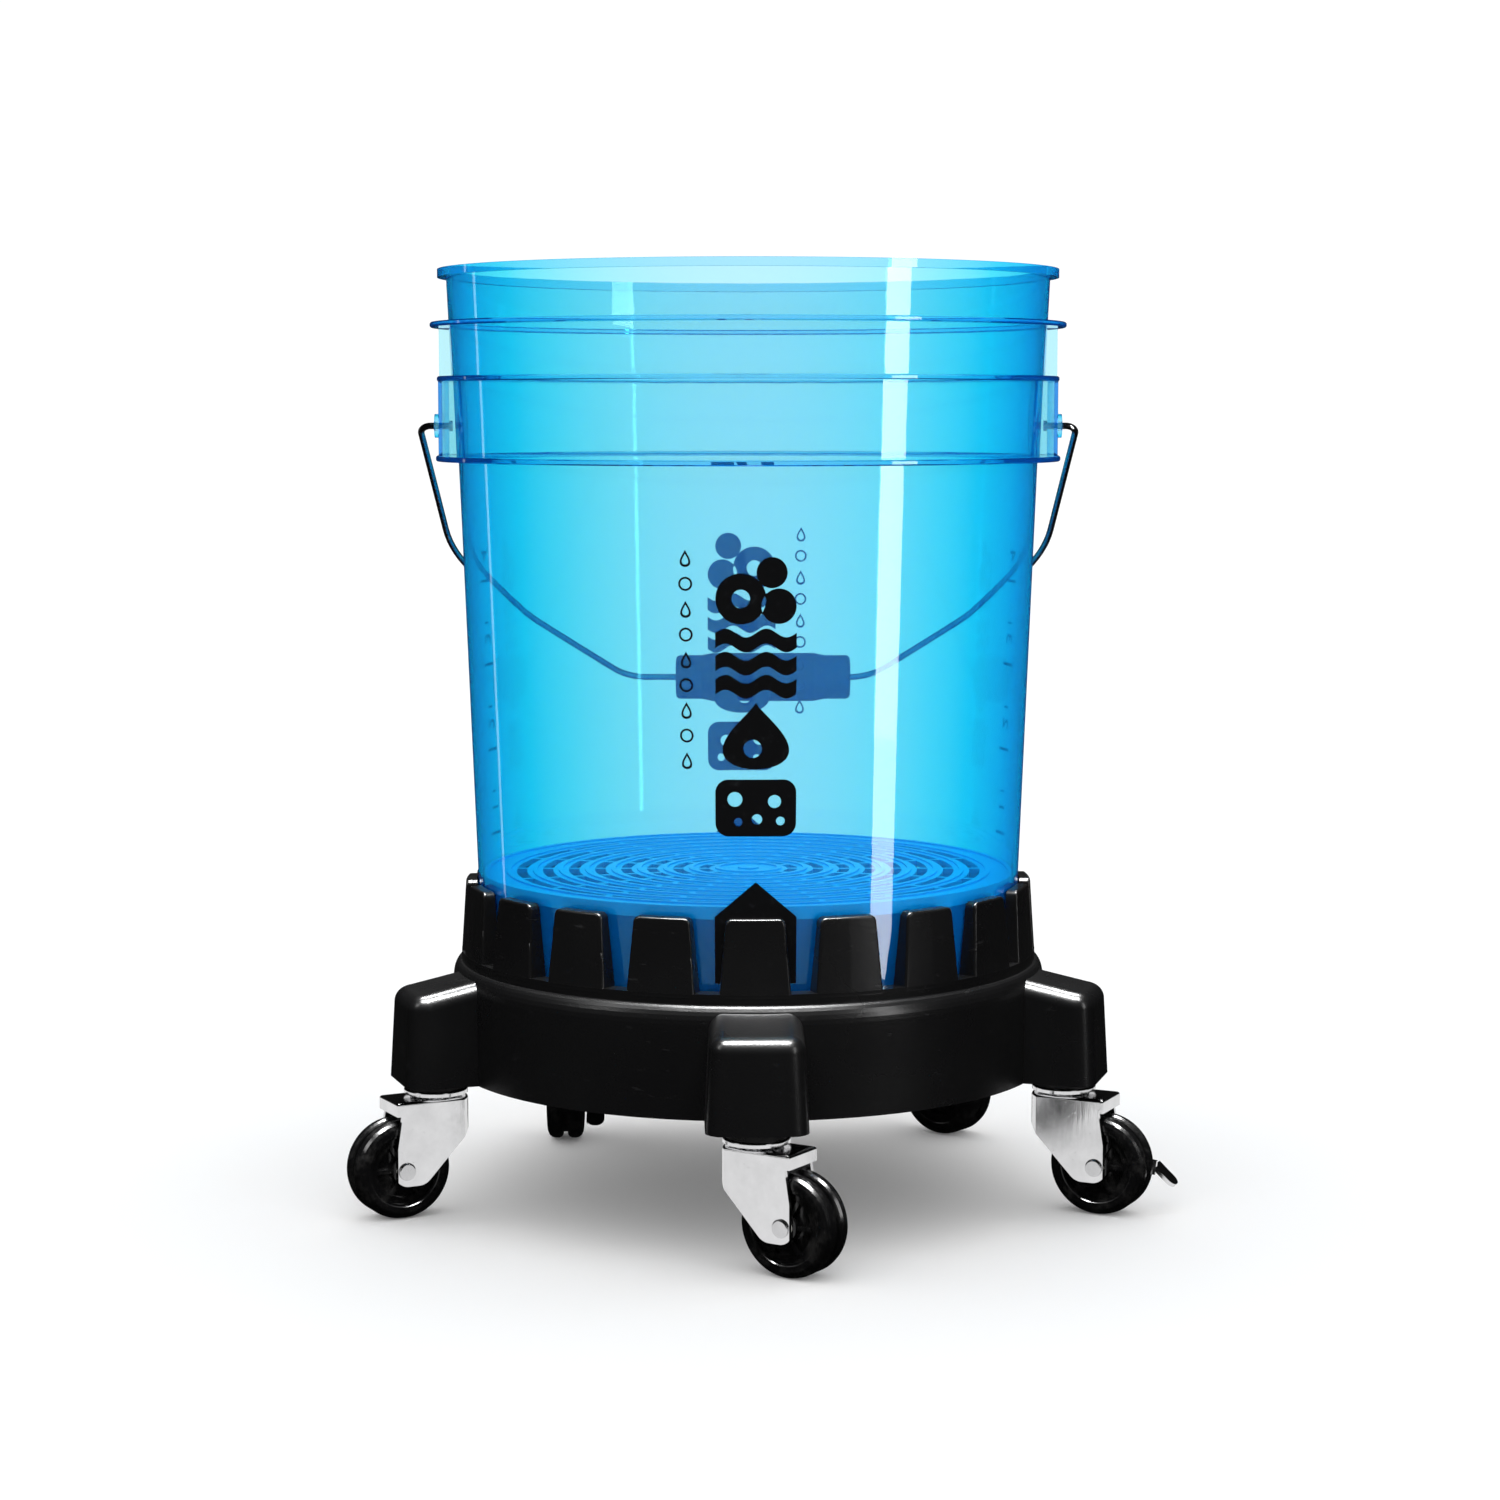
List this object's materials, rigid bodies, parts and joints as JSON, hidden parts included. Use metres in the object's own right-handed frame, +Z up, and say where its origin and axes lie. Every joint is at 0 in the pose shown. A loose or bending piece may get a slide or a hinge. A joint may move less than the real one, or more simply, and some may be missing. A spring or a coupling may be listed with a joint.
{
  "type": "wash bucket on caster dolly",
  "caption": "Translucent blue wash bucket with a wire bail and grit guard, seated in a black toothed dolly on swivel casters with side brakes.",
  "frame": {"origin": "on the floor, under the axis of the bucket", "axes": "+Z up along the bucket's axis, -Y towards the front, +X towards the right as seen from the front"},
  "size_m": [0.4024, 0.3543, 0.455],
  "materials": {
    "bucket_blue": "polished translucent blue polypropylene",
    "guard_blue": "translucent blue moulding",
    "grip_plastic": "moulded, lightly ribbed",
    "bail_steel": "drawn steel wire, dark reflections",
    "dolly_black": "satin black with a fine grain",
    "neck_black": "smooth black",
    "wheel_black": "gloss black, scuffed on the treads",
    "bush_nylon": "natural nylon",
    "caster_zinc": "bright zinc-plated pressed steel",
    "axle_steel": "bright steel",
    "stem_steel": "turned steel",
    "ball_steel": "polished balls"
  },
  "bodies": {
    "dolly": {"dolly_ring": "dolly_black", "dolly_deck": "dolly_black", "front_pod": "dolly_black", "front_stem": "stem_steel", "front_race": "caster_zinc", "front_neck_ring": "neck_black", "right_front_pod": "dolly_black", "right_front_stem": "stem_steel", "right_front_race": "caster_zinc", "right_front_neck_ring": "neck_black", "right_rear_pod": "dolly_black", "right_rear_stem": "stem_steel", "right_rear_race": "caster_zinc", "right_rear_neck_ring": "neck_black", "left_rear_pod": "dolly_black", "left_rear_stem": "stem_steel", "left_rear_race": "caster_zinc", "left_rear_neck_ring": "neck_black", "left_front_pod": "dolly_black", "left_front_stem": "stem_steel", "left_front_race": "caster_zinc", "left_front_neck_ring": "neck_black"},
    "bucket": {"bucket_shell": "bucket_blue"},
    "guard": {"grit_guard": "guard_blue"},
    "bail": {"bail_wire": "bail_steel"},
    "grip": {"bail_grip": "grip_plastic"},
    "front_swivel": {"front_fork": "caster_zinc", "front_axle": "axle_steel", "front_balls": "ball_steel"},
    "front_wheel_set": {"front_wheel": "wheel_black", "front_bush": "bush_nylon"},
    "right_front_swivel": {"right_front_fork": "caster_zinc", "right_front_axle": "axle_steel", "right_front_balls": "ball_steel", "right_front_brake_nut": "axle_steel"},
    "right_front_wheel_set": {"right_front_wheel": "wheel_black", "right_front_bush": "bush_nylon"},
    "right_front_brake": {"right_front_brake_lever": "caster_zinc"},
    "right_rear_swivel": {"right_rear_fork": "caster_zinc", "right_rear_axle": "axle_steel", "right_rear_balls": "ball_steel"},
    "right_rear_wheel_set": {"right_rear_wheel": "wheel_black", "right_rear_bush": "bush_nylon"},
    "left_rear_swivel": {"left_rear_fork": "caster_zinc", "left_rear_axle": "axle_steel", "left_rear_balls": "ball_steel", "left_rear_brake_nut": "axle_steel"},
    "left_rear_wheel_set": {"left_rear_wheel": "wheel_black", "left_rear_bush": "bush_nylon"},
    "left_rear_brake": {"left_rear_brake_lever": "caster_zinc"},
    "left_front_swivel": {"left_front_fork": "caster_zinc", "left_front_axle": "axle_steel", "left_front_balls": "ball_steel"},
    "left_front_wheel_set": {"left_front_wheel": "wheel_black", "left_front_bush": "bush_nylon"}
  },
  "joints": [
    {"name": "bucket_lift", "type": "slide", "parent": "dolly", "child": "bucket", "axis": [0, 0, 1], "range_m": [0, 0.12]},
    {"name": "guard_lift", "type": "slide", "parent": "bucket", "child": "guard", "axis": [0, 0, 1], "range_m": [0, 0.37]},
    {"name": "bail_swing", "type": "hinge", "parent": "bucket", "child": "bail", "pos_m": [0, 0, 0.3795], "axis": [1, 0, 0], "range_deg": [0, 264]},
    {"name": "grip_spin", "type": "hinge", "parent": "bail", "child": "grip", "pos_m": [0.008, 0.15123, 0.24333], "axis": [1, 0, 0], "continuous": true},
    {"name": "front_swivel_turn", "type": "hinge", "parent": "dolly", "child": "front_swivel", "pos_m": [0.00392, -0.16035, 0.0575], "axis": [0, 0, 1], "continuous": true},
    {"name": "front_wheel_roll", "type": "hinge", "parent": "front_swivel", "child": "front_wheel_set", "pos_m": [0.02088, -0.17095, 0.024], "axis": [0.5299, 0.848, 0], "continuous": true},
    {"name": "right_front_swivel_turn", "type": "hinge", "parent": "dolly", "child": "right_front_swivel", "pos_m": [0.15371, -0.04582, 0.0575], "axis": [0, 0, 1], "continuous": true},
    {"name": "right_front_wheel_roll", "type": "hinge", "parent": "right_front_swivel", "child": "right_front_wheel_set", "pos_m": [0.17172, -0.05453, 0.024], "axis": [0.4352, 0.9003, 0], "continuous": true},
    {"name": "right_front_brake_press", "type": "hinge", "parent": "right_front_swivel", "child": "right_front_brake", "pos_m": [0.17172, -0.05453, 0.024], "axis": [0.4352, 0.9003, 0], "range_deg": [0, 25]},
    {"name": "right_rear_swivel_turn", "type": "hinge", "parent": "dolly", "child": "right_rear_swivel", "pos_m": [0.09108, 0.13203, 0.0575], "axis": [0, 0, 1], "continuous": true},
    {"name": "right_rear_wheel_roll", "type": "hinge", "parent": "right_rear_swivel", "child": "right_rear_wheel_set", "pos_m": [0.10705, 0.12, 0.024], "axis": [0.6018, 0.7986, 0], "continuous": true},
    {"name": "left_rear_swivel_turn", "type": "hinge", "parent": "dolly", "child": "left_rear_swivel", "pos_m": [-0.09742, 0.12742, 0.0575], "axis": [0, 0, 1], "continuous": true},
    {"name": "left_rear_wheel_roll", "type": "hinge", "parent": "left_rear_swivel", "child": "left_rear_wheel_set", "pos_m": [-0.09742, 0.10742, 0.024], "axis": [1, 0, 0], "continuous": true},
    {"name": "left_rear_brake_press", "type": "hinge", "parent": "left_rear_swivel", "child": "left_rear_brake", "pos_m": [-0.09742, 0.10742, 0.024], "axis": [1, 0, 0], "range_deg": [0, 25]},
    {"name": "left_front_swivel_turn", "type": "hinge", "parent": "dolly", "child": "left_front_swivel", "pos_m": [-0.15129, -0.05328, 0.0575], "axis": [0, 0, 1], "continuous": true},
    {"name": "left_front_wheel_roll", "type": "hinge", "parent": "left_front_swivel", "child": "left_front_wheel_set", "pos_m": [-0.169, -0.06258, 0.024], "axis": [0.4648, -0.8854, 0], "continuous": true}
  ]
}
